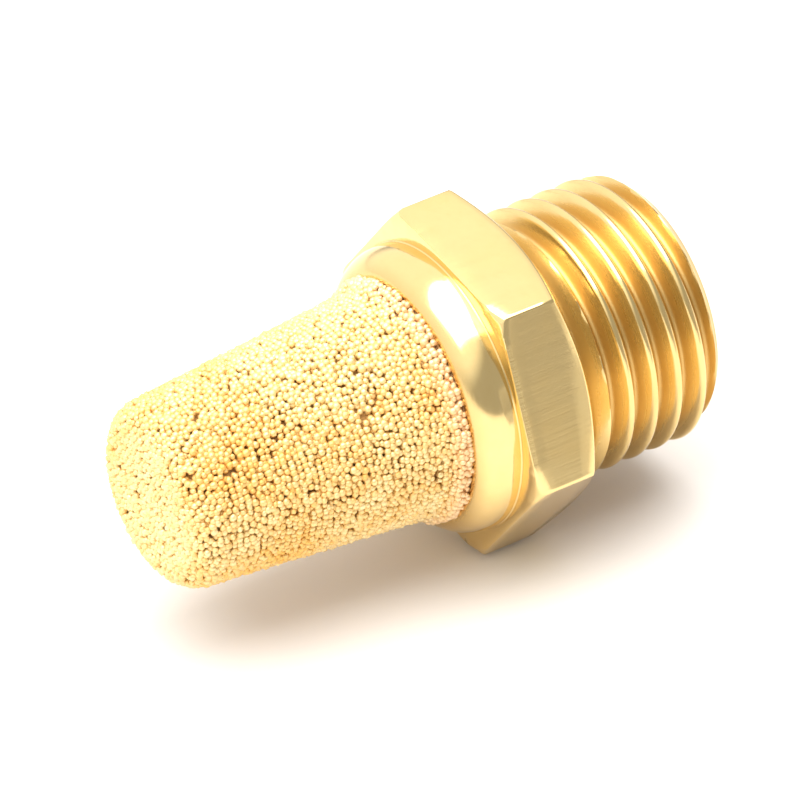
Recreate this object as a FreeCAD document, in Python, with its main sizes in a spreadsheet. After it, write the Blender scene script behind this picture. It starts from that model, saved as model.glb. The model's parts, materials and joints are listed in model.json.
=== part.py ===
"""Pneumatic exhaust muffler, port thread G1/4: a turned brass body and a sintered bronze element.

Frame, in millimetres: the axis of the part lies along Y. The origin is on that axis, in the
face of the hexagon that meets the port. The threaded shank points to +Y, the closed tip of
the sintered element to -Y, and +Z is up.

The body is hexagon bar, turned at both ends and bored through. The element is a hollow
conical thimble. Its skirt stands in a seat in the body, and the lip of the collar is rolled
in over the skirt's shoulder, which holds it for good. A raised rim of the element stands
against the end of the lip.
"""
import FreeCAD, Part
import math
import os
import Sketcher

SHEET = "sizes"

# Driving dimensions: lengths and diameters in mm, the angle in degrees.
DRIVING = {
    "thread_major_dia": 13.157,   # G1/4, over the crests
    "thread_length": 8.0,
    "thread_lead": 0.8,           # 45 degree lead-in at the port end
    "hex_flats": 15.0,
    "hex_thickness": 3.8,
    "hex_clocking": 48.0,         # first corner, turned from +X towards +Z
    "chamfer_angle": 30.0,        # of both hexagon chamfers, from the hexagon's faces
    "shoulder_chamfer_dia": 14.5, # what the chamfer leaves of the port-side face
    "front_chamfer_dia": 16.3,    # what the chamfer leaves of the front face
    "collar_dia": 14.1,
    "collar_length": 1.95,
    "collar_land": 0.35,          # straight stretch of the collar, beside the hexagon
    "lip_dia": 12.2,              # where the rolled edge meets the mouth's flat
    "lip_thickness": 0.65,        # the turned-in lip, along the axis
    "mouth_dia": 11.7,            # the hole that the turned-in lip leaves
    "bore_dia": 8.4,
    "bore_lead": 0.4,             # 45 degree chamfer where the bore opens
    "seat_dia": 12.1,
    "seat_setback": 2.3,          # the seat's floor, from the port-side face of the hexagon
    "skirt_gap": 0.02,            # radial gap between skirt and seat
    "neck_gap": 0.03,             # radial gap between the element and the mouth
    "rim_dia": 12.1,              # raised rim of the element, against the lip's end
    "rim_reach": 0.35,            # the rim, in front of the mouth
    "cone_base_dia": 11.24,
    "cone_base_reach": 3.1,       # where the rim has run out into the cone, from the hexagon
    "cone_tip_dia": 9.12,         # at the tip's flat, before its edge is rounded
    "tip_reach": 15.9,            # the tip's flat, from the front face of the hexagon
    "tip_rounding": 1.4,
    "hollow_base_dia": 7.9,
    "hollow_tip_dia": 6.0,
    "hollow_rounding": 0.8,
    "tip_wall": 2.0,
}

# Radii and places along the axis, worked out in the sheet from the driving dimensions.
DERIVED = {
    "thread_radius": "thread_major_dia / 2",
    "thread_lead_radius": "thread_major_dia / 2 - thread_lead",
    "thread_lead_start": "thread_length - thread_lead",
    "hex_corner_radius": "hex_flats / sqrt(3)",
    "hex_front": "-hex_thickness",
    "chamfer_slope": "tan(chamfer_angle * 1 deg)",
    "chamfer_clearance": "0.2",
    "chamfer_rim": "hex_corner_radius + 1",
    "shoulder_chamfer_radius": "shoulder_chamfer_dia / 2 - chamfer_clearance / chamfer_slope",
    "shoulder_chamfer_reach": "-(chamfer_rim - shoulder_chamfer_dia / 2) * chamfer_slope",
    "front_chamfer_radius": "front_chamfer_dia / 2 - chamfer_clearance / chamfer_slope",
    "front_chamfer_start": "hex_front - chamfer_clearance",
    "front_chamfer_reach": "hex_front + (chamfer_rim - front_chamfer_dia / 2) * chamfer_slope",
    "collar_radius": "collar_dia / 2",
    "collar_land_end": "hex_front - collar_land",
    "mouth_plane": "hex_front - collar_length",
    "lip_radius": "lip_dia / 2",
    "lip_drop": "collar_radius - lip_radius",
    "lip_back": "mouth_plane + lip_thickness",
    "lip_roll": "((collar_land_end - mouth_plane) ^ 2 + lip_drop ^ 2) / (2 * lip_drop)",
    "mouth_radius": "mouth_dia / 2",
    "bore_radius": "bore_dia / 2",
    "bore_lead_radius": "bore_radius + bore_lead",
    "bore_lead_start": "thread_length - bore_lead",
    "seat_radius": "seat_dia / 2",
    "seat_floor": "-seat_setback",
    "skirt_radius": "seat_radius - skirt_gap",
    "neck_radius": "mouth_radius - neck_gap",
    "rim_radius": "rim_dia / 2",
    "rim_end": "mouth_plane - rim_reach",
    "cone_base": "hex_front - cone_base_reach",
    "cone_base_radius": "cone_base_dia / 2",
    "cone_tip_radius": "cone_tip_dia / 2",
    "tip_plane": "hex_front - tip_reach",
    "hollow_base_radius": "hollow_base_dia / 2",
    "hollow_tip_radius": "hollow_tip_dia / 2",
    "hollow_end": "tip_plane + tip_wall",
}

FULL_TURN = 360.0
TOUCH = 1e-4                      # two places nearer than this are the same one, in mm


def make_sheet(doc):
    """Fill the spreadsheet: the driving numbers first, then the cells worked out from them."""
    sheet = doc.addObject("Spreadsheet::Sheet", SHEET)
    cells = [(name, str(value)) for name, value in DRIVING.items()]
    cells += [(name, "=" + formula) for name, formula in DERIVED.items()]
    for row, (name, content) in enumerate(cells, start=1):
        sheet.set(f"A{row}", name)
        sheet.set(f"B{row}", content)
        sheet.setAlias(f"B{row}", name)
    doc.recompute()
    return sheet


def origin_plane(body, role):
    """One of the body's own origin planes, found by its role."""
    return next(plane for plane in body.Origin.OriginFeatures if plane.Role == role)


def bind(sketch, constraint, name, cell):
    """Add a dimension to a sketch and tie it to a cell of the sheet."""
    index = sketch.addConstraint(constraint)
    sketch.renameConstraint(index, name)
    sketch.setExpression(f"Constraints.{name}", f"{SHEET}.{cell}")


def end_at(sketch, edge, place):
    """Which end of a sketch edge lies at a place: 1 for its start, 2 for its end."""
    return 1 if sketch.getPoint(edge, 1).distanceToPoint(place) < TOUCH else 2


def half_section(body, name, sheet, corners, arcs=None):
    """Draw a closed half-section in the YZ plane, to be turned about Y.

    corners: pairs of cell names, the place along the axis and the radius there. A radius of
    None puts the corner on the axis. arcs gives the cell that holds the radius of the edge
    that leaves a corner, where that edge is round and bulges away from the axis.
    """
    arcs = arcs or {}
    sketch = body.newObject("Sketcher::SketchObject", name)
    sketch.AttachmentSupport = (origin_plane(body, "YZ_Plane"), [""])
    sketch.MapMode = "FlatFace"

    places = []
    for along, radius in corners:
        height = 0.0 if radius is None else getattr(sheet, radius)
        places.append(FreeCAD.Vector(getattr(sheet, along), height, 0.0))

    count = len(corners)
    for corner in range(count):
        start, end = places[corner], places[(corner + 1) % count]
        if corner in arcs:
            sketch.addGeometry(bulging_arc(start, end, getattr(sheet, arcs[corner])), False)
        else:
            sketch.addGeometry(Part.LineSegment(start, end), False)

    for corner, (along, radius) in enumerate(corners):
        before = (corner - 1) % count
        place = places[corner]
        here = end_at(sketch, corner, place)
        sketch.addConstraint(Sketcher.Constraint(
            "Coincident", before, end_at(sketch, before, place), corner, here))
        bind(sketch, Sketcher.Constraint("DistanceX", -1, 1, corner, here, place.x),
             f"along_{corner}", along)
        if radius is None:
            sketch.addConstraint(Sketcher.Constraint("PointOnObject", corner, here, -1))
        else:
            bind(sketch, Sketcher.Constraint("DistanceY", -1, 1, corner, here, place.y),
                 f"radius_{corner}", radius)
    for corner, cell in arcs.items():
        bind(sketch, Sketcher.Constraint("Radius", corner, getattr(sheet, cell)),
             f"arc_{corner}", cell)
    return sketch


def bulging_arc(start, end, radius):
    """The arc of a given radius between two places that bulges away from the axis."""
    chord = end - start
    outward = FreeCAD.Vector(-chord.y, chord.x, 0.0).normalize()
    if outward.y < 0.0:
        outward = outward * -1.0
    sagitta = radius - math.sqrt(radius ** 2 - (chord.Length / 2.0) ** 2)
    return Part.Arc(start, (start + end) * 0.5 + outward * sagitta, end)


def turned(body, kind, name, sketch):
    """Turn a half-section about the axis, as a Revolution that adds or a Groove that cuts."""
    feature = body.newObject(f"PartDesign::{kind}", name)
    feature.Profile = sketch
    feature.ReferenceAxis = (sketch, ["H_Axis"])
    feature.Angle = FULL_TURN
    return feature


def circle_edge(feature, along, radius):
    """The name of a feature's round edge at a place along the axis."""
    for index, edge in enumerate(feature.Shape.Edges, start=1):
        curve = edge.Curve
        if not isinstance(curve, Part.Circle):
            continue
        if abs(curve.Center.y - along) < TOUCH and abs(curve.Radius - radius) < TOUCH:
            return f"Edge{index}"
    raise RuntimeError(f"{feature.Label} has no round edge of radius {radius} at {along}")


def rounded(body, name, base, edge, cell):
    """Round one edge of a feature, by a radius held in the sheet."""
    fillet = body.newObject("PartDesign::Fillet", name)
    fillet.Base = (base, [edge])
    fillet.setExpression("Radius", f"{SHEET}.{cell}")
    return fillet


def make_brass_body(doc, sheet):
    """Hexagon, threaded shank and collar in one turned piece, bored through for the air."""
    body = doc.addObject("PartDesign::Body", "brass_body")

    hexagon = body.newObject("PartDesign::AdditivePrism", "hexagon")
    hexagon.Polygon = 6
    hexagon.AttachmentSupport = (origin_plane(body, "XZ_Plane"), [""])
    hexagon.MapMode = "FlatFace"
    hexagon.setExpression("Circumradius", f"{SHEET}.hex_corner_radius")
    hexagon.setExpression("Height", f"{SHEET}.hex_thickness")
    hexagon.setExpression("AttachmentOffset.Rotation.Angle", f"{SHEET}.hex_clocking")

    # Each chamfer's section starts a little outside the hexagon, so that it cuts cleanly.
    shoulder = half_section(body, "shoulder_chamfer_section", sheet, [
        ("chamfer_clearance", "shoulder_chamfer_radius"),
        ("chamfer_clearance", "chamfer_rim"),
        ("shoulder_chamfer_reach", "chamfer_rim"),
    ])
    turned(body, "Groove", "shoulder_chamfer", shoulder)
    front = half_section(body, "front_chamfer_section", sheet, [
        ("front_chamfer_start", "front_chamfer_radius"),
        ("front_chamfer_start", "chamfer_rim"),
        ("front_chamfer_reach", "chamfer_rim"),
    ])
    turned(body, "Groove", "front_chamfer", front)

    outside = half_section(body, "shank_and_collar_section", sheet, [
        ("thread_length", None),
        ("thread_length", "thread_lead_radius"),
        ("thread_lead_start", "thread_radius"),
        ("seat_floor", "thread_radius"),
        ("seat_floor", "collar_radius"),
        ("collar_land_end", "collar_radius"),
        ("mouth_plane", "lip_radius"),
        ("mouth_plane", None),
    ], arcs={5: "lip_roll"})
    turned(body, "Revolution", "shank_and_collar", outside)

    inside = half_section(body, "air_passage_section", sheet, [
        ("mouth_plane", None),
        ("mouth_plane", "mouth_radius"),
        ("lip_back", "mouth_radius"),
        ("lip_back", "seat_radius"),
        ("seat_floor", "seat_radius"),
        ("seat_floor", "bore_radius"),
        ("bore_lead_start", "bore_radius"),
        ("thread_length", "bore_lead_radius"),
        ("thread_length", None),
    ])
    turned(body, "Groove", "air_passage", inside)
    return body


def make_sintered_element(doc, sheet):
    """Hollow cone of sintered bronze with a closed tip and a skirt for its seat."""
    body = doc.addObject("PartDesign::Body", "sintered_element")

    section = half_section(body, "thimble_section", sheet, [
        ("hollow_end", None),
        ("hollow_end", "hollow_tip_radius"),
        ("seat_floor", "hollow_base_radius"),
        ("seat_floor", "skirt_radius"),
        ("lip_back", "skirt_radius"),
        ("lip_back", "neck_radius"),
        ("mouth_plane", "neck_radius"),
        ("mouth_plane", "rim_radius"),
        ("rim_end", "rim_radius"),
        ("cone_base", "cone_base_radius"),
        ("tip_plane", "cone_tip_radius"),
        ("tip_plane", None),
    ])
    thimble = turned(body, "Revolution", "thimble", section)
    doc.recompute()

    tip_edge = circle_edge(thimble, sheet.tip_plane, sheet.cone_tip_radius)
    tip = rounded(body, "rounded_tip", thimble, tip_edge, "tip_rounding")
    doc.recompute()

    hollow_edge = circle_edge(tip, sheet.hollow_end, sheet.hollow_tip_radius)
    rounded(body, "rounded_hollow", tip, hollow_edge, "hollow_rounding")
    return body


def check(doc, bodies):
    """Stop if any object of the document failed, or a piece isn't one valid solid."""
    for item in doc.Objects:
        if "Invalid" in item.State or "Error" in item.State:
            raise RuntimeError(f"{item.Label} failed: {item.State}")
    for body in bodies:
        shape = body.Shape
        if shape.isNull() or not shape.isValid() or len(shape.Solids) != 1:
            raise RuntimeError(f"{body.Label} is not one valid solid")


def main():
    """Build the document and write one file for each piece."""
    doc = FreeCAD.newDocument("pneumatic_muffler")
    sheet = make_sheet(doc)
    bodies = [make_brass_body(doc, sheet), make_sintered_element(doc, sheet)]
    doc.recompute()
    check(doc, bodies)

    os.makedirs("parts", exist_ok=True)
    for body in bodies:
        body.Shape.exportStep(f"parts/{body.Label}.step")
        box = body.Shape.optimalBoundingBox()
        print(f"{body.Label}: {body.Shape.Volume:.1f} mm3, "
              f"y {box.YMin:.2f} to {box.YMax:.2f}, x {box.XMin:.2f} to {box.XMax:.2f}")


main()
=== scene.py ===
"""Pneumatic exhaust muffler: a turned brass body with its G1/4 thread, and a sintered element.

The axis of the part lies along Y, with the threaded shank towards +Y and the closed tip of
the element towards -Y. Sizes in the classes are in millimetres, and meshes are in metres.
"""
import json
import logging
import math
from dataclasses import dataclass
from enum import Enum

import bmesh
import bpy
import numpy as np
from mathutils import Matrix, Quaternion, Vector


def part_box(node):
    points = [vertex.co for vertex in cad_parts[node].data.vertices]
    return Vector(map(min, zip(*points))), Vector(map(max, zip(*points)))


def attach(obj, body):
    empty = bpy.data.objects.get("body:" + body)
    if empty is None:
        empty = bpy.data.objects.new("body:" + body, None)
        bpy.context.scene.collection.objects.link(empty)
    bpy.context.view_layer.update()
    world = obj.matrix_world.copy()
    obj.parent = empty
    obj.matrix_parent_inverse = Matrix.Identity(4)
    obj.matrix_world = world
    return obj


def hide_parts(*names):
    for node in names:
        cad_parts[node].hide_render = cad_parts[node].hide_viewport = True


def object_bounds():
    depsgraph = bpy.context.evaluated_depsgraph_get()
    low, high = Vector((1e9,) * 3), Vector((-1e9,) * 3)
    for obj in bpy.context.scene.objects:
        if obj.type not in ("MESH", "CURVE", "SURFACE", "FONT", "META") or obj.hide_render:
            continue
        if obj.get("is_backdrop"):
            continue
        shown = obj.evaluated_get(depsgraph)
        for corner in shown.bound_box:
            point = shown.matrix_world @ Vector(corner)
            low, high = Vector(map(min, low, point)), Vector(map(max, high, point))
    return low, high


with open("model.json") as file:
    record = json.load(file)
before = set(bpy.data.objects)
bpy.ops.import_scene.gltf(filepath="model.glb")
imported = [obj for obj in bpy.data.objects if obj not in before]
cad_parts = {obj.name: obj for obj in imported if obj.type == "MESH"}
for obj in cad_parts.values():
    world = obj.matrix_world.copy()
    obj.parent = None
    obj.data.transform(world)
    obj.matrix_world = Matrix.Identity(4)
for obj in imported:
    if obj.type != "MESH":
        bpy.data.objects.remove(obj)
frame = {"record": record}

MM = 0.001
ROOT = "root"
BODY_NODE = "brass_body"
ELEMENT_NODE = "sintered_element"
THREAD_MOUNT = "port_thread"

log = logging.getLogger("muffler")


class Slot(Enum):
    """The record's material slots."""

    TURNED_BRASS = "turned_brass"
    SINTERED_BRONZE = "sintered_bronze"


class Layer(Enum):
    """The layers of grains on the sintered element."""

    OUTSIDE = "outside"
    UNDER = "under"
    HOLLOW = "hollow"


# ---------------------------------------------------------------- node helpers


class Nodes:
    """Short calls for building a node tree."""

    def __init__(self, tree: bpy.types.NodeTree) -> None:
        """Work on one tree.

        Args:
            tree: the shader, group or geometry tree to fill.
        """
        self.tree = tree

    def add(self, kind: str, inputs: dict | None = None, **settings: object) -> bpy.types.Node:
        """Add a node.

        Args:
            kind: the node's type name.
            inputs: values by input name or number; a socket is linked, a value is set.
            settings: properties of the node itself.

        Returns:
            The new node.
        """
        node = self.tree.nodes.new(kind)
        for name, value in settings.items():
            setattr(node, name, value)
        for name, value in (inputs or {}).items():
            if isinstance(value, bpy.types.NodeSocket):
                self.tree.links.new(value, node.inputs[name])
            else:
                node.inputs[name].default_value = value
        return node

    def maths(self, operation: str, *values: object) -> bpy.types.NodeSocket:
        """Add a Math node and return its result."""
        inputs = dict(enumerate(values))
        return self.add("ShaderNodeMath", inputs, operation=operation).outputs[0]

    def vector(self, operation: str, *values: object) -> bpy.types.NodeSocket:
        """Add a Vector Math node and return its vector."""
        inputs = dict(enumerate(values))
        return self.add("ShaderNodeVectorMath", inputs, operation=operation).outputs[0]

    def scaled(self, vector: object, factor: object) -> bpy.types.NodeSocket:
        """Multiply a vector by a number."""
        inputs = {0: vector, "Scale": factor}
        return self.add("ShaderNodeVectorMath", inputs, operation="SCALE").outputs[0]

    def axes(self, vector: object) -> list[bpy.types.NodeSocket]:
        """The X, Y and Z of a vector."""
        return list(self.add("ShaderNodeSeparateXYZ", {0: vector}).outputs)

    def spread(self, value: object, low: float, high: float,
               to_low: float = 0.0, to_high: float = 1.0) -> bpy.types.NodeSocket:
        """Map a range of values onto another, held at both ends."""
        inputs = {0: value, 1: low, 2: high, 3: to_low, 4: to_high}
        return self.add("ShaderNodeMapRange", inputs).outputs[0]

    def blend(self, factor: object, first: object, second: object) -> bpy.types.NodeSocket:
        """Mix two colours."""
        inputs = {0: factor, 6: first, 7: second}
        return self.add("ShaderNodeMix", inputs, data_type="RGBA").outputs[2]

    def noise(self, vector: object, scale: object, detail: float = 2.0,
              roughness: float = 0.5) -> bpy.types.NodeSocket:
        """Add a noise texture and return its value."""
        inputs = {"Vector": vector, "Scale": scale, "Detail": detail, "Roughness": roughness}
        return self.add("ShaderNodeTexNoise", inputs).outputs[0]

    def random(self, kind: str, low: object, high: object, seed: object,
               shift: int) -> bpy.types.NodeSocket:
        """A random value for each point, from low to high; each shift has its own draws."""
        least, most, result = {"FLOAT_VECTOR": (0, 1, 0), "FLOAT": (2, 3, 1)}[kind]
        inputs = {least: low, most: high, "Seed": self.maths("ADD", seed, float(shift))}
        return self.add("FunctionNodeRandomValue", inputs, data_type=kind).outputs[result]

    def dress(self, shader: bpy.types.Node, colour: object, roughness: object, height: object,
              depth: float) -> None:
        """Link a shader's colour, roughness and bump, with the bump's depth in mm."""
        bump = self.add("ShaderNodeBump", {"Strength": 1.0, "Distance": depth * MM,
                                           "Height": height})
        self.tree.links.new(colour, shader.inputs["Base Color"])
        self.tree.links.new(roughness, shader.inputs["Roughness"])
        self.tree.links.new(bump.outputs[0], shader.inputs["Normal"])


def new_group(name: str, inputs: list[tuple[str, str, object]],
              outputs: list[tuple[str, str]]) -> tuple[bpy.types.NodeTree, Nodes, dict, dict]:
    """Make an empty shader group with named sockets.

    Args:
        name: the group's name.
        inputs: the name, socket type and default value of each input.
        outputs: the name and socket type of each output.

    Returns:
        The tree, its node helper, its input sockets and its output sockets, by name.
    """
    tree = bpy.data.node_groups.new(name, "ShaderNodeTree")
    for label, kind, value in inputs:
        socket = tree.interface.new_socket(label, in_out="INPUT", socket_type=kind)
        if value is not None:
            socket.default_value = value
    for label, kind in outputs:
        tree.interface.new_socket(label, in_out="OUTPUT", socket_type=kind)
    nodes = Nodes(tree)
    source = nodes.add("NodeGroupInput")
    sink = nodes.add("NodeGroupOutput")
    given = {socket.name: socket for socket in source.outputs if socket.name}
    wanted = {socket.name: socket for socket in sink.inputs if socket.name}
    return tree, nodes, given, wanted


# ---------------------------------------------------------------- shared effects


def machining_group() -> bpy.types.NodeTree:
    """Tool marks: rings left by turning, and long lines left by drawing the bar.

    Returns:
        A group that takes Object coordinates in metres and gives the height of the marks and
        how strong their streaks are, each from 0 to 1.
    """
    tree, nodes, given, wanted = new_group(
        "machining_marks",
        [("Position", "NodeSocketVector", None), ("Turned", "NodeSocketFloat", 1.0),
         ("Pitch", "NodeSocketFloat", 9.0)],
        [("Height", "NodeSocketFloat"), ("Streaks", "NodeSocketFloat")])
    place = nodes.scaled(given["Position"], 1.0 / MM)
    across, along, up = nodes.axes(place)
    radius = nodes.maths("SQRT", nodes.maths("ADD", nodes.maths("MULTIPLY", across, across),
                                             nodes.maths("MULTIPLY", up, up)))

    # Across a turned face the marks depend on radius and on the place along the axis only.
    ring_place = nodes.add("ShaderNodeCombineXYZ", {0: radius, 1: along, 2: 0.0})
    rings = nodes.noise(ring_place.outputs[0], given["Pitch"], 4.0, 0.65)

    # On a drawn flat the marks run along the axis.
    lines = nodes.noise(nodes.vector("MULTIPLY", place, (7.0, 0.25, 7.0)), 1.0, 3.0, 0.6)

    turned = nodes.maths("MULTIPLY", rings, given["Turned"])
    drawn = nodes.maths("MULTIPLY", lines, nodes.maths("SUBTRACT", 1.0, given["Turned"]))
    height = nodes.maths("ADD", turned, drawn)
    tree.links.new(height, wanted["Height"])
    tree.links.new(nodes.spread(height, 0.35, 0.7), wanted["Streaks"])
    return tree


def film_and_shade_group() -> bpy.types.NodeTree:
    """Broad soft patches with finer specks inside them: uneven film on the brass, and on the bronze
    partly painted shade.

    Returns:
        A group that takes Object coordinates in metres and gives a mask from 0 to Amount.
    """
    tree, nodes, given, wanted = new_group(
        "film_and_shade_patches", [("Position", "NodeSocketVector", None), ("Amount", "NodeSocketFloat", 0.5),
                    ("Scale", "NodeSocketFloat", 0.35)],
        [("Mask", "NodeSocketFloat")])
    place = nodes.scaled(given["Position"], 1.0 / MM)
    broad = nodes.noise(place, given["Scale"], 3.0, 0.6)
    fine = nodes.noise(place, 3.0, 4.0, 0.65)
    patches = nodes.spread(broad, 0.42, 0.72)
    specks = nodes.spread(fine, 0.45, 0.75)
    both = nodes.maths("ADD", nodes.maths("MULTIPLY", patches, 0.7),
                       nodes.maths("MULTIPLY", specks, 0.3))
    tree.links.new(nodes.maths("MULTIPLY", both, given["Amount"]), wanted["Mask"])
    return tree


def new_material(name: str) -> tuple[bpy.types.Material, Nodes, bpy.types.Node]:
    """Make a material and give it, its node helper and its shader."""
    material = bpy.data.materials.new(name)
    material.use_nodes = True
    return material, Nodes(material.node_tree), material.node_tree.nodes["Principled BSDF"]


class Effects:
    """The shader groups that more than one finish uses, each built once."""

    def __init__(self) -> None:
        """Build the groups."""
        self.machining = machining_group()
        self.film_and_shade_patches = film_and_shade_group()


# ---------------------------------------------------------------- finishes

Colour = tuple[float, float, float, float]


@dataclass(frozen=True)
class BrassFinish:
    """Bright free-machining brass, turned all over except on the drawn hexagon flats.

    Attributes:
        mark_depth: depth of the tool marks, in mm.
        film_amount: how strong the film is at most.
        shade_cover: how much of a groove's bottom takes the painted shade colour.
        recess_haze: how much rougher a groove's bottom is.
        streak_haze: how much rougher the tool marks are.
    """

    name: str = "turned_brass"
    colour: Colour = (0.89, 0.675, 0.31, 1.0)
    film_and_shade: Colour = (0.82, 0.58, 0.22, 1.0)
    # Painted shade: a darker brown laid into grooves, the bore and creases, and as a warm painted
    # reflection on the lip.
    painted_shade: Colour = (0.56, 0.33, 0.09, 1.0)
    roughness: float = 0.085
    roughness_film: float = 0.19
    mark_depth: float = 0.0015
    film_amount: float = 0.55
    shade_cover: float = 0.75
    recess_haze: float = 0.3
    streak_haze: float = 0.05

    def material(self, effects: Effects) -> bpy.types.Material:
        """Build the material.

        Args:
            effects: the shared shader groups.

        Returns:
            The material, which reads the mesh attributes turned and painted_shade.
        """
        material, nodes, shader = new_material(self.name)
        shader.inputs["Metallic"].default_value = 1.0
        place = nodes.add("ShaderNodeTexCoord").outputs["Object"]
        turned = nodes.add("ShaderNodeAttribute", attribute_name="turned").outputs["Fac"]
        painted_shade = nodes.add("ShaderNodeAttribute", attribute_name="painted_shade").outputs["Fac"]
        marks = nodes.add("ShaderNodeGroup", {"Position": place, "Turned": turned},
                          node_tree=effects.machining)
        film_and_shade = nodes.add("ShaderNodeGroup", {"Position": place, "Amount": self.film_amount},
                         node_tree=effects.film_and_shade_patches).outputs["Mask"]

        colour = nodes.blend(film_and_shade, self.colour, self.film_and_shade)
        # Painted shade: the painted_shade attribute mixes the darker brown in; it also makes those
        # places rougher.
        cover = nodes.spread(painted_shade, 0.0, 1.0, 0.0, self.shade_cover)
        colour = nodes.blend(cover, colour, self.painted_shade)
        haze = nodes.maths(
            "ADD", nodes.maths("MULTIPLY", marks.outputs["Streaks"], self.streak_haze),
            nodes.maths("MULTIPLY", painted_shade, self.recess_haze))
        roughness = nodes.spread(film_and_shade, 0.0, 1.0, self.roughness, self.roughness_film)
        nodes.dress(shader, colour, nodes.maths("ADD", roughness, haze),
                    marks.outputs["Height"], self.mark_depth)
        return material


@dataclass(frozen=True)
class BronzeFinish:
    """Sintered bronze, in patches of a paler and a deeper colour, placed partly as painted shade.

    Attributes:
        pit_depth: depth of the pits on the grains, in mm.
        pit_scale: scale of the noise that makes the pits, per mm.
        patch_scale: scale of the noise that makes the patches, per mm.
        shade_patch_offset: where the pattern of patches is taken from, in mm; it puts the deeper
            colour on the element's lower part as painted shade.
        tone_share: how much a grain's own tone adds to the deeper colour.
        tone_roughness: what a grain's tone adds to the roughness, at no tone and at full tone.
        rim_share: how much of the rim takes the rim's colour.
        rim_fade: how far before and past its edge the rim's colour fades in, in mm.
    """

    name: str
    pale: Colour
    deep: Colour
    rim: Colour
    metallic: float
    roughness: float
    pit_depth: float
    pit_scale: float = 14.0
    patch_scale: float = 0.13
    shade_patch_offset: tuple[float, float, float] = (33.0, 3.0, 71.0)
    tone_share: float = 0.4
    tone_roughness: tuple[float, float] = (-0.06, 0.1)
    rim_share: float = 0.5
    rim_fade: tuple[float, float] = (0.35, 0.25)

    def material(self, effects: Effects, rim_edge: float) -> bpy.types.Material:
        """Build the material.

        Args:
            effects: the shared shader groups.
            rim_edge: the place along the axis where the bruised rim begins, in mm.

        Returns:
            The material, which reads the mesh attribute grain_tone.
        """
        material, nodes, shader = new_material(self.name)
        shader.inputs["Metallic"].default_value = self.metallic
        position = nodes.add("ShaderNodeTexCoord").outputs["Object"]
        tone = nodes.add("ShaderNodeAttribute", attribute_name="grain_tone").outputs["Fac"]
        # Painted shade: the patches are shifted so that the deeper colour falls on the element's
        # lower part; the grain tone adds random variation.
        offset = tuple(value * MM for value in self.shade_patch_offset)
        film_and_shade = nodes.add("ShaderNodeGroup", {
            "Position": nodes.vector("ADD", position, offset), "Amount": 1.0,
            "Scale": self.patch_scale}, node_tree=effects.film_and_shade_patches)

        place = nodes.scaled(position, 1.0 / MM)
        rim_mask = nodes.spread(nodes.axes(place)[1], rim_edge - self.rim_fade[0],
                                rim_edge + self.rim_fade[1])
        mask = nodes.maths("ADD", nodes.maths("MULTIPLY", tone, self.tone_share),
                           film_and_shade.outputs["Mask"])
        colour = nodes.blend(mask, self.pale, self.deep)
        colour = nodes.blend(nodes.maths("MULTIPLY", rim_mask, self.rim_share), colour, self.rim)
        roughness = nodes.spread(tone, 0.0, 1.0, self.roughness + self.tone_roughness[0],
                                 self.roughness + self.tone_roughness[1])
        pits = nodes.noise(place, self.pit_scale, 3.0, 0.6)
        nodes.dress(shader, colour, roughness, pits, self.pit_depth)
        return material


@dataclass(frozen=True)
class FloorFinish:
    """Plain matt surface of the studio.

    Attributes:
        glow_start: distance from the part, in mm, past which the camera sees the surface fade
            to white like the room behind it, or None for a surface that doesn't fade.
        glow_level: how bright the fade is at its end, at three times that distance.
    """

    name: str = "studio_floor"
    colour: Colour = (0.76, 0.737, 0.715, 1.0)
    roughness: float = 0.55
    glow_start: float | None = 400.0
    glow_level: float = 0.7
    specular: float = 0.2

    def material(self) -> bpy.types.Material:
        """Build the material."""
        material, nodes, shader = new_material(self.name)
        shader.inputs["Base Color"].default_value = self.colour
        shader.inputs["Roughness"].default_value = self.roughness
        shader.inputs["Specular IOR Level"].default_value = self.specular
        if self.glow_start is not None:
            place = nodes.add("ShaderNodeTexCoord").outputs["Object"]
            away = nodes.add("ShaderNodeVectorMath", {0: place}, operation="LENGTH")
            start = self.glow_start * MM
            glow = nodes.spread(away.outputs["Value"], start, 3.0 * start, 0.0,
                                self.glow_level)
            seen = nodes.add("ShaderNodeLightPath").outputs["Is Camera Ray"]
            shader.inputs["Emission Color"].default_value = (1.0, 1.0, 1.0, 1.0)
            material.node_tree.links.new(nodes.maths("MULTIPLY", glow, seen),
                                         shader.inputs["Emission Strength"])
        return material


# ---------------------------------------------------------------- turned meshes


@dataclass
class Ring:
    """One row of points round the axis.

    Attributes:
        along: place along the axis in mm, one value or one for each column.
        radius: distance from the axis in mm, one value or one for each column.
        turned: 1 on turned faces, 0 on the drawn flats of the hexagon.
        painted_shade: how much painted shade the ring takes, 0 on open faces and 1 at the bottom of
            a groove, or one value for each column.
    """

    along: float | np.ndarray
    radius: float | np.ndarray
    turned: float = 1.0
    painted_shade: float | np.ndarray = 0.0


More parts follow.
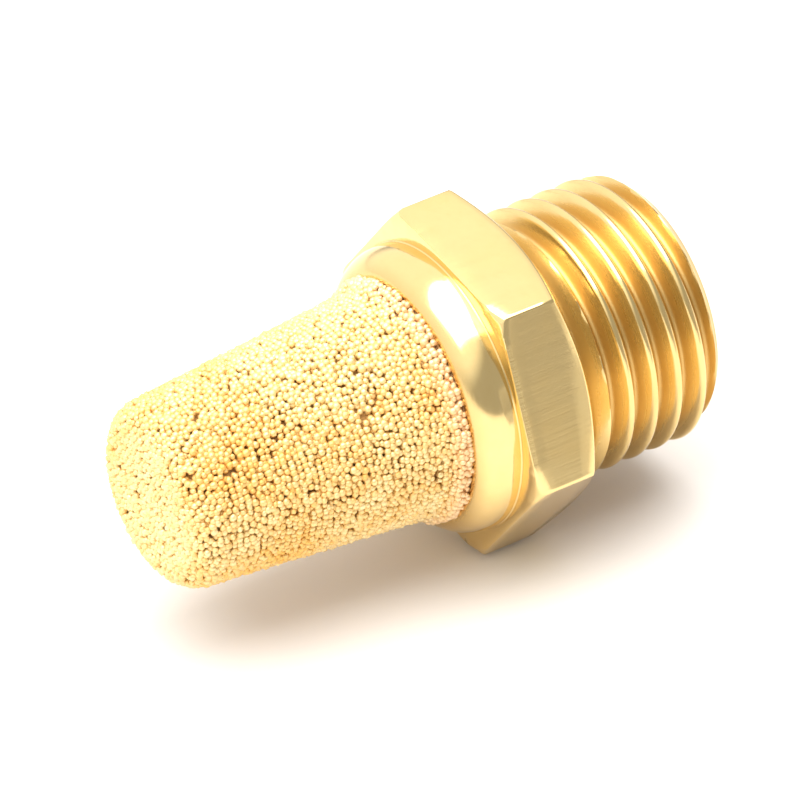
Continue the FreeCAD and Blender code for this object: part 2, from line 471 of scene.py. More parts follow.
def lathe(name: str, angles: np.ndarray, rings: list[Ring], closed: bool) -> bpy.types.Object:
    """Skin a list of rings with faces that point outwards.

    Args:
        name: the object's name.
        angles: the angle of each column, from +X towards +Z, in radians.
        rings: the rings in order, from the outside of the piece at -Y towards +Y.
        closed: whether the last ring joins the first. Otherwise each end of zero radius is
            a pole, and an end with a radius stays open.

    Returns:
        The new object, at the origin, in metres.
    """
    columns = len(angles)
    points: list[np.ndarray] = []
    turned: list[float] = []
    painted_shade: list[np.ndarray] = []
    rows: list[list[int]] = []
    count = 0
    for ring in rings:
        is_pole = not closed and np.ndim(ring.radius) == 0 and ring.radius == 0.0
        size = 1 if is_pole else columns
        radius = np.broadcast_to(np.asarray(ring.radius, float), (columns,))[:size]
        along = np.broadcast_to(np.asarray(ring.along, float), (columns,))[:size]
        deep = np.broadcast_to(np.asarray(ring.painted_shade, float), (columns,))[:size]
        turn = angles[:size]
        points.append(np.stack([radius * np.cos(turn), along, radius * np.sin(turn)], axis=1))
        turned += [ring.turned] * size
        painted_shade.append(deep)
        rows.append([count] * columns if is_pole else list(range(count, count + columns)))
        count += size

    faces = []
    pairs = list(zip(rows, rows[1:])) + ([(rows[-1], rows[0])] if closed else [])
    for low, high in pairs:
        for here in range(columns):
            after = (here + 1) % columns
            corners = [low[here], high[here], high[after], low[after]]
            face = list(dict.fromkeys(corners))
            if len(face) > 2:
                faces.append(face)

    mesh = bpy.data.meshes.new(name)
    mesh.from_pydata((np.concatenate(points) * MM).tolist(), [], faces)
    # The painted_shade attribute tells the brass material where to paint shade.
    for label, values in (("turned", np.array(turned)), ("painted_shade", np.concatenate(painted_shade))):
        attribute = mesh.attributes.new(label, "FLOAT", "POINT")
        attribute.data.foreach_set("value", values.astype(np.float32))

    # Where two rings meet, as a chamfer runs out on a flat, their points become one.
    work = bmesh.new()
    work.from_mesh(mesh)
    bmesh.ops.remove_doubles(work, verts=work.verts, dist=2e-5 * MM)
    work.to_mesh(mesh)
    work.free()
    mesh.shade_smooth()
    mesh.validate()
    piece = bpy.data.objects.new(name, mesh)
    bpy.context.scene.collection.objects.link(piece)
    return piece


def finish_piece(piece: bpy.types.Object, material: bpy.types.Material,
                 replaces: tuple[str, ...] = ()) -> None:
    """Dress a finished piece and tie it to the frame.

    Args:
        piece: the object, with its place in its mesh.
        material: what it is made of.
        replaces: the CAD nodes that it stands for.
    """
    piece.data.materials.clear()
    piece.data.materials.append(material)
    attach(piece, ROOT)
    for node in replaces:
        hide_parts(node)
    triangles = sum(len(face.vertices) - 2 for face in piece.data.polygons)
    log.info("%s: %d triangles", piece.name, triangles)


# ---------------------------------------------------------------- brass body


@dataclass(frozen=True)
class ThreadForm:
    """Parallel pipe thread with a 55 degree form, rounded at crest and root.

    Attributes:
        major_radius: radius over the crests.
        pitch: axial distance from ridge to ridge.
    """

    major_radius: float
    pitch: float = 25.4 / 19.0
    half_angle: float = math.radians(27.5)
    depth_in_pitches: float = 0.640327
    rounding_in_pitches: float = 0.137329

    @property
    def depth(self) -> float:
        """Radial distance from crest to root."""
        return self.depth_in_pitches * self.pitch

    @property
    def rounding(self) -> float:
        """Radius of the rounded crest and root."""
        return self.rounding_in_pitches * self.pitch

    def drop(self, phase: np.ndarray) -> np.ndarray:
        """How far the surface lies below the crest.

        Args:
            phase: place along the axis within the pitch, in turns, with 0 at a crest.

        Returns:
            The drop at each place, in mm.
        """
        offset = np.abs((phase + 0.5) % 1.0 - 0.5) * self.pitch
        half_pitch = self.pitch / 2.0
        reach = self.rounding * math.cos(self.half_angle)
        sagitta = self.rounding * (1.0 - math.sin(self.half_angle))
        crest = self.rounding - np.sqrt(np.maximum(self.rounding ** 2 - offset ** 2, 0.0))
        from_root = half_pitch - offset
        root = self.depth - self.rounding + np.sqrt(
            np.maximum(self.rounding ** 2 - from_root ** 2, 0.0))
        flank = sagitta + (offset - reach) / math.tan(self.half_angle)
        return np.where(offset < reach, crest, np.where(from_root < reach, root, flank))


@dataclass(frozen=True)
class Hexagon:
    """Section of the hexagon bar, with slightly rounded corners."""

    flats: float = 15.0
    first_corner: float = math.radians(48.0)
    corner_rounding: float = 0.2
    chamfer_angle: float = math.radians(30.0)

    def chamfer_depth(self, radius: np.ndarray, circle: float) -> np.ndarray:
        """How far a turned chamfer reaches back from the end face, at a distance from the axis.

        Args:
            radius: distances from the axis, in mm.
            circle: radius of what the chamfer leaves of the end face, in mm.

        Returns:
            One depth for each distance; it is never less than 0.
        """
        return np.maximum(radius - circle, 0.0) * math.tan(self.chamfer_angle)

    def radius(self, angles: np.ndarray) -> np.ndarray:
        """Distance from the axis to the outline.

        Args:
            angles: directions from +X towards +Z, in radians.

        Returns:
            One radius for each direction.
        """
        sector = math.pi / 3.0
        from_corner = (angles - self.first_corner + sector / 2.0) % sector - sector / 2.0
        from_corner = np.abs(from_corner)
        half = self.flats / 2.0
        flat = half / np.cos(sector / 2.0 - from_corner)
        centre = (half - self.corner_rounding) / math.cos(sector / 2.0)
        inside = self.corner_rounding ** 2 - (centre * np.sin(from_corner)) ** 2
        corner = centre * np.cos(from_corner) + np.sqrt(np.maximum(inside, 0.0))
        touch_x = centre + self.corner_rounding * math.cos(sector / 2.0)
        touch_z = self.corner_rounding * math.sin(sector / 2.0)
        return np.where(from_corner < math.atan2(touch_z, touch_x), corner, flat)

    def columns(self, per_flat: int) -> np.ndarray:
        """Angles for the columns of the mesh, closer together at the corners.

        Args:
            per_flat: how many even steps one flat has.

        Returns:
            Increasing angles over one turn, in radians.
        """
        sector = math.pi / 3.0
        even = np.arange(per_flat) / per_flat * sector
        # Extra columns lie on the rounded corner and just past it.
        near = np.radians([0.22, 0.45, 0.70, 1.0])
        one = np.unique(np.concatenate([even, near, sector - near]))
        return np.concatenate([self.first_corner + sector * side + one for side in range(6)])


@dataclass
class BrassBody:
    """Hexagon, threaded shank and rolled collar in one piece, bored through.

    Sizes are in mm. Places along the axis are measured from the shoulder of the hexagon.

    Attributes:
        shank_end: place of the shank's end.
        mouth: place of the lip's end.
        seat_floor: place of the floor of the element's seat.
        front_chamfer: radius of the circle that the chamfer leaves of the front face.
        shoulder_chamfer: radius of the circle that it leaves of the shoulder.
        foot_height: height of the small fillet at the collar's foot.
        foot_width: width of that fillet.
        foot_end: how far outside the collar the flat front face begins.
        lip_painted_reflection: the painted shade on the rolled lip, a warm tint that stands in for
            a reflection; the lip is also duller than the collar.
        crest_shade: the painted shade on the crests of the thread, which is 1 at the roots.
        shade_power: how quickly that value rises with depth.
    """

    shank_end: float
    mouth: float
    seat_floor: float
    thread: ThreadForm
    hexagon: Hexagon = Hexagon()
    hex_thickness: float = 3.8
    front_chamfer: float = 8.15
    shoulder_chamfer: float = 7.25
    thread_lead: float = 0.8
    relief_width: float = 0.75
    relief_depth: float = 0.8
    collar_radius: float = 7.05
    collar_land: float = 0.35
    lip_radius: float = 6.1
    lip_thickness: float = 0.65
    mouth_radius: float = 5.85
    seat_radius: float = 6.05
    bore_radius: float = 4.2
    bore_lead: float = 0.4
    edge_break: float = 0.09
    foot_height: float = 0.06
    foot_width: float = 0.05
    foot_end: float = 0.13
    lip_painted_reflection: float = 0.5
    crest_shade: float = 0.12
    shade_power: float = 1.2
    steps_per_pitch: int = 22
    steps_per_flat: int = 40
    roll_steps: int = 16
    sharp_angle: float = math.radians(32.0)
    name: str = "brass_body_turned"

    def collar(self) -> list[Ring]:
        """Rings from the lip's inner edge, over the rolled edge, to the foot of the collar."""
        front = -self.hex_thickness
        soft, lip_reflection = 0.05, self.lip_painted_reflection
        # Painted shade darkens the lip's inner edge, and a painted warm reflection tints the rolled
        # lip.
        rings = [Ring(self.mouth + self.lip_thickness, self.mouth_radius, painted_shade=1.0),
                 Ring(self.mouth + soft, self.mouth_radius, painted_shade=0.5),
                 Ring(self.mouth + 0.3 * soft, self.mouth_radius + 0.3 * soft, painted_shade=lip_reflection),
                 Ring(self.mouth, self.mouth_radius + soft, painted_shade=lip_reflection),
                 Ring(self.mouth, self.lip_radius - 1.6 * soft, painted_shade=lip_reflection),
                 Ring(self.mouth + 0.3 * soft, self.lip_radius - 0.3 * soft, painted_shade=lip_reflection)]

        # The rolled edge is an arc that leaves the land without a corner.
        land_end = front - self.collar_land
        reach, drop = land_end - self.mouth, self.collar_radius - self.lip_radius
        roll = (reach ** 2 + drop ** 2) / (2.0 * drop)
        sweep = math.asin(reach / roll)
        # The lip's painted reflection runs on over the nearer part of the roll and fades out.
        for step in range(self.roll_steps + 1):
            share = 1.0 - step / self.roll_steps
            turn = sweep * (0.03 + 0.94 * share)
            rings.append(Ring(land_end - roll * math.sin(turn),
                              self.collar_radius - roll * (1.0 - math.cos(turn)),
                              painted_shade=lip_reflection * max(0.0, 2.5 * share - 1.5)))
        rings.append(Ring(front - self.foot_height, self.collar_radius))
        # Painted shade in the crease at the foot of the collar.
        rings.append(Ring(front, self.collar_radius + self.foot_width, painted_shade=0.4))
        return rings

    def hexagon_rings(self, angles: np.ndarray) -> list[Ring]:
        """Rings over the front face, its chamfer, the flats, the chamfer and the shoulder."""
        outline = self.hexagon.radius(angles)
        cut = self.edge_break
        front, back = -self.hex_thickness, 0.0
        rings = [Ring(front, self.collar_radius + self.foot_end)]
        ends = []
        for face, inward, circle in ((front, 1.0, self.front_chamfer),
                                     (back, -1.0, self.shoulder_chamfer)):
            depth = self.hexagon.chamfer_depth(outline, circle)
            outer = outline - cut
            ends.append([
                Ring(face, np.minimum(outer, circle)),
                Ring(face + inward * self.hexagon.chamfer_depth(outer, circle), outer),
                Ring(face + inward * (depth + 0.3 * cut), outline - 0.3 * cut, 0.5),
                Ring(face + inward * (depth + cut), outline, 0.0)])
        rings += ends[0]
        first, last = ends[0][-1].along, ends[1][-1].along
        rings += [Ring(first + (last - first) * share, outline, 0.0)
                  for share in (0.25, 0.5, 0.75)]
        rings += ends[1][::-1]
        return rings

    def shank(self, angles: np.ndarray) -> list[Ring]:
        """Rings over the relief groove, the helical thread and the lead-in."""
        floor = self.thread.major_radius - self.relief_depth
        lead_start = self.shank_end - self.thread_lead
        step = self.thread.pitch / self.steps_per_pitch
        count = round((self.shank_end - 0.1) / step)
        turns = angles / (2.0 * math.pi)
        # Painted shade in the relief groove, strongest at its bottom.
        rings = [Ring(0.0, self.thread.major_radius + 0.1, painted_shade=0.3),
                 Ring(0.0, floor + 0.12, painted_shade=0.8), Ring(0.05, floor + 0.03, painted_shade=1.0)]
        for along in np.linspace(0.12, self.shank_end - 0.04, count):
            # The tool runs in through the side of the groove, at 45 degrees.
            groove_side = floor + max(0.0, along - self.relief_width)
            lead_side = self.thread.major_radius - max(0.0, along - lead_start)
            drop = self.thread.drop(along / self.thread.pitch + turns)
            radius = np.minimum(self.thread.major_radius - drop, min(groove_side, lead_side))
            # Painted shade darkens the thread towards its roots.
            depth = np.clip((self.thread.major_radius - radius) / self.thread.depth, 0.0, 1.0)
            shade = self.crest_shade + (1.0 - self.crest_shade) * depth ** self.shade_power
            rings.append(Ring(float(along), radius, painted_shade=shade))
        return rings

    def inside(self, last: Ring) -> list[Ring]:
        """Rings over the port end, down the air passage and round the element's seat."""
        end = self.shank_end
        rings = [Ring(end, np.asarray(last.radius) - 0.04),
                 Ring(end, self.bore_radius + self.bore_lead + 0.05),
                 Ring(end - 0.05, self.bore_radius + self.bore_lead),
                 Ring(end - self.bore_lead, self.bore_radius + 0.02),
                 Ring(end - self.bore_lead - 0.1, self.bore_radius)]
        # Painted shade, stronger further down the air passage and in the element's seat.
        rings += [Ring(end - self.bore_lead - share * (end - self.bore_lead - self.seat_floor),
                       self.bore_radius, painted_shade=0.05 + 0.25 * share)
                  for share in (0.25, 0.5, 0.75, 1.0)]
        rings += [Ring(self.seat_floor, self.seat_radius, painted_shade=0.6),
                  Ring(self.mouth + self.lip_thickness, self.seat_radius, painted_shade=0.8)]
        return rings

    def build(self, effects: Effects) -> None:
        """Make the mesh, dress it and tie it to the frame."""
        angles = self.hexagon.columns(self.steps_per_flat)
        shank = self.shank(angles)
        rings = self.collar() + self.hexagon_rings(angles) + shank + self.inside(shank[-1])
        piece = lathe(self.name, angles, rings, closed=True)
        piece.data.set_sharp_from_angle(angle=self.sharp_angle)
        finish_piece(piece, BrassFinish().material(effects), (BODY_NODE,))


# ---------------------------------------------------------------- sintered element


def grain_mesh() -> bpy.types.Object:
    """One grain: an octahedron with each face cut in four and pushed out to a ball.

    Returns:
        An object that isn't in the scene, one unit in radius.
    """
    axes = [Vector(axis) * sign for axis in ((1, 0, 0), (0, 1, 0), (0, 0, 1))
            for sign in (1.0, -1.0)]
    points: list[Vector] = []
    index: dict[tuple, int] = {}

    def corner(place: Vector) -> int:
        """The number of a point on the ball, made if it is new."""
        unit = place.normalized()
        key = tuple(round(value, 4) for value in unit)
        if key not in index:
            index[key] = len(points)
            points.append(unit)
        return index[key]

    faces = []
    for first in axes[0:2]:
        for second in axes[2:4]:
            for third in axes[4:6]:
                flip = first.x * second.y * third.z < 0.0
                trio = (first, third, second) if flip else (first, second, third)
                middle = [(trio[side] + trio[(side + 1) % 3]) * 0.5 for side in range(3)]
                faces += [[corner(trio[side]), corner(middle[side]), corner(middle[side - 1])]
                          for side in range(3)]
                faces.append([corner(place) for place in middle])
    mesh = bpy.data.meshes.new("grain")
    mesh.from_pydata(points, [], faces)
    mesh.shade_smooth()
    return bpy.data.objects.new("grain", mesh)


class GrainPacking:
    """Geometry Nodes tree that packs a surface with sintered grains."""

    def __init__(self) -> None:
        """Build the tree."""
        self.tree = bpy.data.node_groups.new("pack_grains", "GeometryNodeTree")
        face = self.tree.interface
        face.new_socket("Surface", in_out="INPUT", socket_type="NodeSocketGeometry")
        for label, kind in (("Grain", "NodeSocketObject"), ("Finish", "NodeSocketMaterial"),
                            ("Spacing", "NodeSocketFloat"), ("Density", "NodeSocketFloat"),
                            ("Radius", "NodeSocketFloat"), ("Uneven", "NodeSocketFloat"),
                            ("Missing", "NodeSocketFloat"), ("Seed", "NodeSocketInt")):
            face.new_socket(label, in_out="INPUT", socket_type=kind)
        face.new_socket("Grains", in_out="OUTPUT", socket_type="NodeSocketGeometry")
        self.fill()

    def fill(self) -> None:
        """Add the nodes: scatter, leave some out, shift, size, turn, tone and realize."""
        nodes = Nodes(self.tree)
        source = nodes.add("NodeGroupInput")
        given = {socket.name: socket for socket in source.outputs if socket.name}
        seed = given["Seed"]
        scatter = nodes.add("GeometryNodeDistributePointsOnFaces", {
            "Mesh": given["Surface"], "Distance Min": given["Spacing"],
            "Density Max": given["Density"], "Seed": seed}, distribute_method="POISSON")

        chance = nodes.random("FLOAT", 0.0, 1.0, seed, 1)
        place = nodes.add("GeometryNodeInputPosition").outputs[0]
        cluster = nodes.noise(place, 0.55 / MM, 2.0, 0.5)
        local = nodes.maths("MULTIPLY", given["Missing"], nodes.spread(cluster, 0.4, 0.7, 0.2, 2.4))
        gone = nodes.maths("LESS_THAN", chance, local)
        kept = nodes.add("GeometryNodeDeleteGeometry", {
            "Geometry": scatter.outputs["Points"], "Selection": gone}, domain="POINT")

        sink = nodes.random("FLOAT", -1.0, 0.35, seed, 2)
        reach = nodes.maths("MULTIPLY", nodes.maths("MULTIPLY", sink, given["Uneven"]),
                            given["Radius"])
        moved = nodes.add("GeometryNodeSetPosition", {
            "Geometry": kept.outputs[0],
            "Offset": nodes.scaled(scatter.outputs["Normal"], reach)})

        turn = nodes.random("FLOAT_VECTOR", (0.0, 0.0, 0.0), (6.283, 6.283, 6.283), seed, 3)
        shape = nodes.random("FLOAT_VECTOR", (0.86, 0.86, 0.86), (1.14, 1.14, 1.14), seed, 4)
        size = nodes.maths("MULTIPLY", given["Radius"],
                           nodes.random("FLOAT", 0.84, 1.16, seed, 5))
        grain = nodes.add("GeometryNodeObjectInfo", {"Object": given["Grain"]})
        instances = nodes.add("GeometryNodeInstanceOnPoints", {
            "Points": moved.outputs[0], "Instance": grain.outputs["Geometry"],
            "Rotation": turn, "Scale": nodes.scaled(shape, size)})

        tone = nodes.random("FLOAT", 0.0, 1.0, seed, 6)
        toned = nodes.add("GeometryNodeStoreNamedAttribute", {
            "Geometry": instances.outputs[0], "Name": "grain_tone", "Value": tone},
            data_type="FLOAT", domain="INSTANCE")
        solid = nodes.add("GeometryNodeRealizeInstances", {"Geometry": toned.outputs[0]})
        smooth = nodes.add("GeometryNodeSetShadeSmooth", {"Geometry": solid.outputs[0]})
        dressed = nodes.add("GeometryNodeSetMaterial", {
            "Geometry": smooth.outputs[0], "Material": given["Finish"]})
        sink_node = nodes.add("NodeGroupOutput")
        self.tree.links.new(dressed.outputs[0], sink_node.inputs["Grains"])

    def run(self, name: str, surface: bpy.types.Object, grain: bpy.types.Object,
            material: bpy.types.Material, sizes: dict[str, float]) -> bpy.types.Object:
        """Pack one surface and turn the result into a plain mesh.

        Args:
            name: the new piece's name.
            surface: the surface to pack; it is removed afterwards.
            grain: the shape of one grain.
            material: the grains' material.
            sizes: the tree's number inputs by name, in metres and grains.

        Returns:
            The grains as one object at the origin.
        """
        modifier = surface.modifiers.new("grains", "NODES")
        modifier.node_group = self.tree
        values = {"Grain": grain, "Finish": material, **sizes}
        for item in self.tree.interface.items_tree:
            if item.item_type == "SOCKET" and item.in_out == "INPUT" and item.name in values:
                modifier[item.identifier] = values[item.name]
        bpy.context.view_layer.update()
        graph = bpy.context.evaluated_depsgraph_get()
        mesh = bpy.data.meshes.new_from_object(surface.evaluated_get(graph))
        mesh.name = name
        surface.modifiers.clear()
        bpy.data.objects.remove(surface)
        piece = bpy.data.objects.new(name, mesh)
        bpy.context.scene.collection.objects.link(piece)
        return piece


def rounded_end(end: float, slope_start: float, start_radius: float, end_radius: float,
                rounding: float, steps: int) -> list[tuple[float, float]]:
    """Outline from a cone's wall, round its edge, to the centre of its flat end.

    Args:
        end: place of the flat end along the axis.
        slope_start: place where the wall begins.
        start_radius: radius of the wall there.
        end_radius: radius that the wall would reach at the flat end.
        rounding: radius of the edge between wall and end.
        steps: how many steps the rounded edge has.

    Returns:
        Places and radii, from the wall to the axis.
    """
    lean = math.atan2(start_radius - end_radius, slope_start - end)
    # The ball that touches both the wall and the end has its centre here.
    centre_along = end + rounding
    wall_radius = end_radius + rounding * math.tan(lean)
    centre_radius = wall_radius - rounding / math.cos(lean)
    outline = []
    for step in range(steps + 1):
        turn = -lean + (math.pi / 2.0 + lean) * step / steps
        outline.append((centre_along - rounding * math.sin(turn),
                        centre_radius + rounding * math.cos(turn)))
    return outline


@dataclass
class SinteredElement:
    """Hollow cone of sintered grains: a solid core with layers of grains outside and inside.

    Sizes are in mm. Places along the axis are measured from the shoulder of the hexagon.

    Attributes:
        tip: place of the closed tip.
        base: place of the open base, on the floor of the seat.
        mouth: place of the lip's end, which the raised rim stands against.
        rim_uneven: how far the rim strays from a true ring.
        cone_base_reach: how far in front of the hexagon the cone ends and the swell begins.
        grain_density: the most grains that are tried, per square mm.
        grain_uneven: how far grains stray in and out, in grain radii.
        outer_depth: how deep the outer grains' middles lie, in grain radii.
        under_depth: how deep the middles of those under them lie, in grain radii.
        core_sink: how deep the core's outside lies under the outline.
    """

    tip: float
    base: float
    mouth: float
    hex_front: float = -3.8
    lip_thickness: float = 0.65
    neck_radius: float = 5.82
    skirt_radius: float = 6.03
    rim_reach: float = 0.35
    rim_radius: float = 6.05
    rim_uneven: float = 0.11
    cone_base_radius: float = 5.62
    cone_base_reach: float = 3.1
    cone_tip_radius: float = 4.56
    tip_rounding: float = 1.4
    tip_wall: float = 2.0
    hollow_base_radius: float = 3.95
    hollow_tip_radius: float = 3.0
    hollow_rounding: float = 0.8
    grain_radius: float = 0.187
    grain_spacing: float = 0.225
    grain_density: float = 90.0
    grain_uneven: float = 0.3
    outer_depth: float = 0.95
    under_depth: float = 1.75
    core_sink: float = 0.44
    columns: int = 180
    sharp_angle: float = math.radians(40.0)

    @property
    def angles(self) -> np.ndarray:
        """The angle of each column of the meshes, in radians."""
        return np.arange(self.columns) * (2.0 * math.pi / self.columns)

    def outer_outline(self, sink: float) -> list[tuple[float, float]]:
        """Outline of the outside from the centre of the tip to the lip, sunk by some mm."""
        base = self.hex_front - self.cone_base_reach
        edge = rounded_end(self.tip + sink, base, self.cone_base_radius - sink,
                           self.cone_tip_radius - sink, self.tip_rounding - sink * 0.5, 10)
        end_radius = edge[-1][1]
        flat = [(self.tip + sink, end_radius * share) for share in (0.0, 0.2, 0.4, 0.6, 0.8)]
        top_along, top_radius = edge[0]
        wall = []
        for step in range(1, 37):
            share = step / 36.0
            wall.append((top_along + (base - top_along) * share,
                         top_radius + (self.cone_base_radius - sink - top_radius) * share))

        # The wall swells into the raised rim in an S-shaped curve.
        rim_end = self.mouth - self.rim_reach
        swell = []
        for step in range(1, 9):
            share = step / 8.0
            steep = min(max((share - 0.25) / 0.6, 0.0), 1.0)
            ease = steep * steep * (3.0 - 2.0 * steep)
            swell.append((base + (rim_end - base) * share, self.cone_base_radius - sink
                          + (self.rim_radius - self.cone_base_radius) * ease))
        return flat + edge[::-1] + wall + swell + [(self.mouth - 0.04, self.rim_radius - sink)]

    def hollow_outline(self, sink: float) -> list[tuple[float, float]]:
        """Outline of the hollow from its base to the centre of its end, sunk by some mm."""
        end = self.tip + self.tip_wall - sink
        edge = rounded_end(end, self.base, self.hollow_base_radius + sink,
                           self.hollow_tip_radius + sink, self.hollow_rounding, 6)
        top_along, top_radius = edge[0]
        wall = []
        for step in range(24):
            share = step / 24.0
            wall.append((self.base + (top_along - self.base) * share,
                         self.hollow_base_radius + sink
                         + (top_radius - self.hollow_base_radius - sink) * share))
        end_radius = edge[-1][1]
        flat = [(end, end_radius * share) for share in (0.75, 0.5, 0.25, 0.0)]
        return wall + edge + flat

    def rings(self, outline: list[tuple[float, float]]) -> list[Ring]:
        """Rings for an outline, uneven where the wall swells into the rim.

        Args:
            outline: places and radii, in mm.

        Returns:
            One ring for each point of the outline.
        """
        angles = self.angles
        wave = (np.sin(7.0 * angles + 0.4) + 0.8 * np.sin(12.0 * angles + 1.9)
                + 0.9 * np.sin(19.0 * angles + 4.1) + 0.6 * np.sin(31.0 * angles + 2.6)) / 2.2
        swell_start = self.hex_front - self.cone_base_reach
        swell_length = self.mouth - self.rim_reach - swell_start
        rings = []
        for along, radius in outline:
            on_rim = along < self.mouth and radius > self.hollow_base_radius + 0.5
            share = np.clip((along - swell_start) / swell_length, 0.0, 1.0) if on_rim else 0.0
            if share > 0.0:
                # The rim strays along the axis too, by the same waves some way round from it.
                lean = 0.6 * self.rim_uneven * share * (1.0 - share) * 4.0
                rings.append(Ring(along + lean * np.roll(wave, 17),
                                  radius + self.rim_uneven * share * wave))
            else:
                rings.append(Ring(along, radius))
        return rings

    def build_core(self, material: bpy.types.Material) -> None:
        """Make the solid wall, its skirt and its seat face, dark with painted shade that shows
        through the pores.
        """
        outside = self.outer_outline(self.core_sink)
        shoulder = self.mouth + self.lip_thickness
        skirt = [(self.mouth - 0.02, self.neck_radius), (shoulder, self.neck_radius),
                 (shoulder, self.skirt_radius), (self.base, self.skirt_radius)]
        outline = outside + skirt + self.hollow_outline(self.core_sink * 0.7)
        piece = lathe("sintered_element_core", self.angles, self.rings(outline), closed=False)
        # Painted shade: a fixed tone of 0.8 pushes the core towards its deeper colour.
        tone = piece.data.attributes.new("grain_tone", "FLOAT", "POINT")
        tone.data.foreach_set("value", np.full(len(piece.data.vertices), 0.8, np.float32))
        piece.data.set_sharp_from_angle(angle=self.sharp_angle)
        finish_piece(piece, material, (ELEMENT_NODE,))

    def build_grains(self, packing: GrainPacking, material: bpy.types.Material) -> None:
        """Pack the outside and the hollow with grains."""
        grain = grain_mesh()
        outer = self.grain_radius * self.outer_depth
        under = self.grain_radius * self.under_depth
        # Each layer has its outline, its seed and the share of its grains that is left out.
        layers = {
            Layer.OUTSIDE: (self.outer_outline(outer), 11, 0.035),
            Layer.UNDER: (self.outer_outline(under), 37, 0.20),
            Layer.HOLLOW: (self.hollow_outline(outer), 23, 0.05),
        }
        for layer, (outline, seed, missing) in layers.items():
            name = f"sintered_grains_{layer.value}"
            surface = lathe(name + "_surface", self.angles, self.rings(outline), closed=False)
            sizes = {"Spacing": self.grain_spacing * MM, "Density": self.grain_density / MM ** 2,
                     "Radius": self.grain_radius * MM, "Uneven": self.grain_uneven,
                     "Missing": missing, "Seed": seed}
            piece = packing.run(name, surface, grain, material, sizes)
            finish_piece(piece, material)
        bpy.data.objects.remove(grain)

    def build(self, effects: Effects) -> None:
        """Make the core and its grains, dress them and tie them to the frame."""
        rim_edge = self.mouth - 2.0 * self.rim_reach
        grains = BronzeFinish(
            "sintered_bronze_grains", pale=(0.93, 0.77, 0.42, 1.0), deep=(0.86, 0.52, 0.13, 1.0),
            rim=(0.90, 0.61, 0.43, 1.0), metallic=0.55, roughness=0.40, pit_depth=0.006)
        # The core is a darker copy of the bronze, which paints the shade in the pores.
        core = BronzeFinish(
            "sintered_bronze_core_painted_shade", pale=(0.68, 0.42, 0.16, 1.0), deep=(0.46, 0.27, 0.10, 1.0),
            rim=(0.52, 0.32, 0.19, 1.0), metallic=0.4, roughness=0.7, pit_depth=0.05)
        self.build_core(core.material(effects, rim_edge))
        self.build_grains(GrainPacking(), grains.material(effects, rim_edge))


# ---------------------------------------------------------------- studio


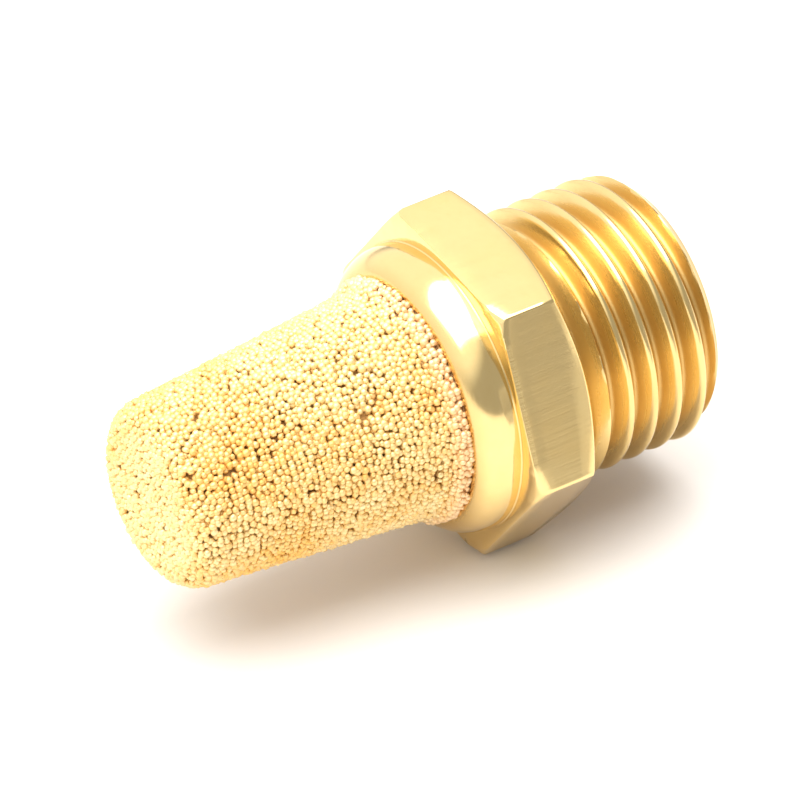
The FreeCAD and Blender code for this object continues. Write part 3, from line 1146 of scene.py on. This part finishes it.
def add_panel(name: str, corners: list[Vector], finish: FloorFinish) -> None:
    """A flat piece of the studio.

    Args:
        name: the object's name.
        corners: its four corners in order, in mm.
        finish: what it is made of.
    """
    mesh = bpy.data.meshes.new(name)
    mesh.from_pydata([corner * MM for corner in corners], [], [(0, 1, 2, 3)])
    panel = bpy.data.objects.new(name, mesh)
    bpy.context.scene.collection.objects.link(panel)
    mesh.materials.append(finish.material())
    panel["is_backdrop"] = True


@dataclass
class Studio:
    """Floor, light, cards and camera round the part. Angles are in degrees, lengths in mm.

    Attributes:
        side_share: how much a direction towards -X counts as higher up in the room.
        front_share: how much a direction towards -Y counts as higher up in the room.
        dim_height: the height below which the room has its wall level; straight up is 1.
        bright_height: the height above which it has its ceiling level.
        seen_level: how bright the camera sees the room.
        light_size: the light's width along X and its depth along Y.
        light_radiance: how bright its face is, where a white wall of the room is 1.
        card_start: distance from the part at which the lying card begins.
        card_near: how far its near edge reaches to the camera's left and right, in half card
            widths.
    """

    azimuth: float = 59.0
    elevation: float = 33.0
    roll: float = 3.9
    distance: float = 475.0
    frame_width: float = 37.0
    sensor_width: float = 36.0
    floor_height: float = -8.45
    floor_size: float = 20000.0
    side_share: float = 0.45
    front_share: float = 0.44
    dim_height: float = 0.30
    bright_height: float = 0.56
    wall_level: float = 0.50
    ceiling_level: float = 1.35
    seen_level: float = 1.05
    light_place: tuple[float, float, float] = (60.0, -180.0, 600.0)
    light_size: tuple[float, float] = (580.0, 1080.0)
    light_radiance: float = 3.8
    light_colour: tuple[float, float, float] = (1.0, 0.985, 0.965)
    card_azimuth: float = 115.6
    card_distance: float = 300.0
    card_start: float = 60.0
    card_width: float = 180.0
    card_height: float = 90.0
    card_near: tuple[float, float] = (0.15, 0.6)
    card_roughness: float = 0.8
    card_colour: Colour = (0.375, 0.37, 0.365, 1.0)

    def camera_direction(self) -> Vector:
        """The direction from the part to the camera."""
        turn, rise = math.radians(self.azimuth), math.radians(self.elevation)
        return Vector((math.sin(turn) * math.cos(rise), -math.cos(turn) * math.cos(rise),
                       math.sin(rise)))

    def build_floor(self) -> None:
        """A wide plain floor, just under the part."""
        half, height = self.floor_size / 2.0, self.floor_height
        corners = [Vector((-half, -half, height)), Vector((half, -half, height)),
                   Vector((half, half, height)), Vector((-half, half, height))]
        add_panel("floor", corners, FloorFinish())

    def build_light(self) -> None:
        """A soft rectangular light above the part, which faces straight down."""
        data = bpy.data.lights.new("overhead", "AREA")
        data.shape = "RECTANGLE"
        data.size, data.size_y = (length * MM for length in self.light_size)
        data.energy = self.light_radiance * math.pi * data.size * data.size_y
        data.color = self.light_colour
        light = bpy.data.objects.new("overhead", data)
        light.location = Vector(self.light_place) * MM
        bpy.context.scene.collection.objects.link(light)

    def build_world(self) -> None:
        """A room that is bright overhead, behind the part and past its tip, and dim elsewhere."""
        world = bpy.data.worlds.new("studio_room")
        world.use_nodes = True
        bpy.context.scene.world = world
        nodes = Nodes(world.node_tree)
        background = world.node_tree.nodes["Background"]
        direction = nodes.add("ShaderNodeTexCoord").outputs["Generated"]
        lean = (-self.side_share, -self.front_share, 1.0)
        across, along, up = nodes.axes(nodes.vector("MULTIPLY", direction, lean))
        height = nodes.maths("ADD", up, nodes.maths("ADD", across, along))
        room = nodes.spread(height, self.dim_height, self.bright_height, self.wall_level,
                            self.ceiling_level)
        seen = nodes.add("ShaderNodeLightPath").outputs["Is Camera Ray"]
        level = nodes.add("ShaderNodeMix", {0: seen, 2: room, 3: self.seen_level},
                          data_type="FLOAT")
        world.node_tree.links.new(level.outputs[0], background.inputs["Strength"])
        background.inputs["Color"].default_value = (*self.light_colour, 1.0)

    def build_cards(self) -> None:
        """Two grey cards beside the part, one standing and one lying, which it reflects."""
        turn = math.radians(self.card_azimuth)
        middle = Vector((math.sin(turn), -math.cos(turn), 0.0)) * self.card_distance
        along = Vector((math.cos(turn), math.sin(turn), 0.0)) * self.card_width / 2.0
        low = Vector((0.0, 0.0, self.floor_height + 0.5))
        high = Vector((0.0, 0.0, self.card_height))
        corners = [middle - along + low, middle + along + low, middle + along + high,
                   middle - along + high]
        finish = FloorFinish("grey_card", self.card_colour, self.card_roughness,
                             glow_start=None)
        add_panel("grey_card_standing", corners, finish)
        near = middle * (self.card_start / self.card_distance)
        left, right = self.card_near
        corners = [middle - along + low, middle + along + low, near + along * right + low,
                   near - along * left + low]
        add_panel("grey_card_lying", corners, finish)

    def build_camera(self) -> None:
        """The camera, aimed at the middle of the part and rolled a little."""
        low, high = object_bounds()
        direction = self.camera_direction()
        data = bpy.data.cameras.new("camera")
        data.sensor_width = self.sensor_width
        data.lens = self.sensor_width / self.frame_width * self.distance
        data.clip_start, data.clip_end = 0.01, 20.0
        camera = bpy.data.objects.new("camera", data)
        aim = (low + high) / 2.0
        camera.location = aim + direction * self.distance * MM
        camera.rotation_mode = "QUATERNION"
        roll = Quaternion((0.0, 0.0, 1.0), math.radians(-self.roll))
        camera.rotation_quaternion = (-direction).to_track_quat("-Z", "Y") @ roll
        bpy.context.scene.collection.objects.link(camera)
        bpy.context.scene.camera = camera

    def build(self) -> None:
        """Make the floor, the cards, the room, the light and the camera."""
        self.build_floor()
        self.build_cards()
        self.build_world()
        self.build_light()
        self.build_camera()
        bpy.context.scene.view_settings.view_transform = "Standard"


# ---------------------------------------------------------------- assembly


def thread_radius() -> float:
    """Radius over the crests of the port thread, in mm, as the record's mount gives it."""
    mounts = frame["record"]["mounts"]
    return next(mount["dims"]["r_mm"] for mount in mounts if mount["name"] == THREAD_MOUNT)


def main() -> None:
    """Build the part and the studio round it."""
    logging.basicConfig(level=logging.INFO, format="%(name)s: %(message)s")
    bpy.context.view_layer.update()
    body_low, body_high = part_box(BODY_NODE)
    element_low, element_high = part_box(ELEMENT_NODE)
    mouth = body_low.y / MM
    effects = Effects()

    BrassBody(shank_end=body_high.y / MM, mouth=mouth, seat_floor=element_high.y / MM,
              thread=ThreadForm(thread_radius())).build(effects)
    SinteredElement(tip=element_low.y / MM, base=element_high.y / MM, mouth=mouth).build(effects)
    Studio().build()


if __name__ == "__main__":
    main()
